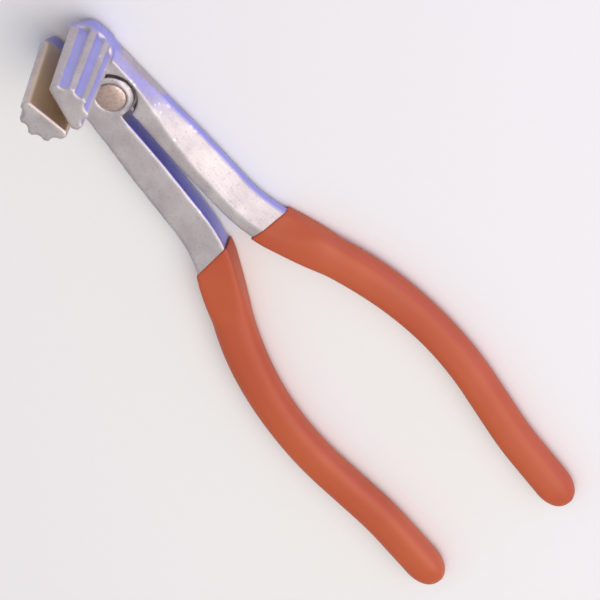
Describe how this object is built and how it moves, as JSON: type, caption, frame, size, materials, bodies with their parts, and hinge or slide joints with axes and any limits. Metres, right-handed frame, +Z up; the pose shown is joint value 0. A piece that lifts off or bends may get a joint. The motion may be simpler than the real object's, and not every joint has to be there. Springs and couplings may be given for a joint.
{
  "type": "spreading pliers",
  "caption": "Hinged pliers with fluted half-round prongs square to the handles, one rivet pivot and dipped handle grips.",
  "frame": {"origin": "centre of the rivet's lower end, on the surface the tool lies on", "axes": "+X from the rivet to the handle tips, +Y towards the right-hand half, +Z up the rivet axis and the prongs"},
  "size_m": [0.1904, 0.0632, 0.036],
  "materials": {
    "right_steel": "satin forged steel",
    "left_steel": "satin forged steel",
    "rivet": "satin steel rivet",
    "grip_vinyl": "dipped vinyl, soft gloss"
  },
  "bodies": {
    "left_side": {"left_half": "left_steel", "left_grip": "grip_vinyl"},
    "right_side": {"right_half": "right_steel", "pivot_rivet": "rivet", "right_grip": "grip_vinyl"}
  },
  "joints": [
    {"name": "rivet_hinge", "type": "hinge", "parent": "left_side", "child": "right_side", "pos_m": [0, 0, 0.0035], "axis": [0, 0, 1], "range_deg": [-3, 6.5]}
  ]
}
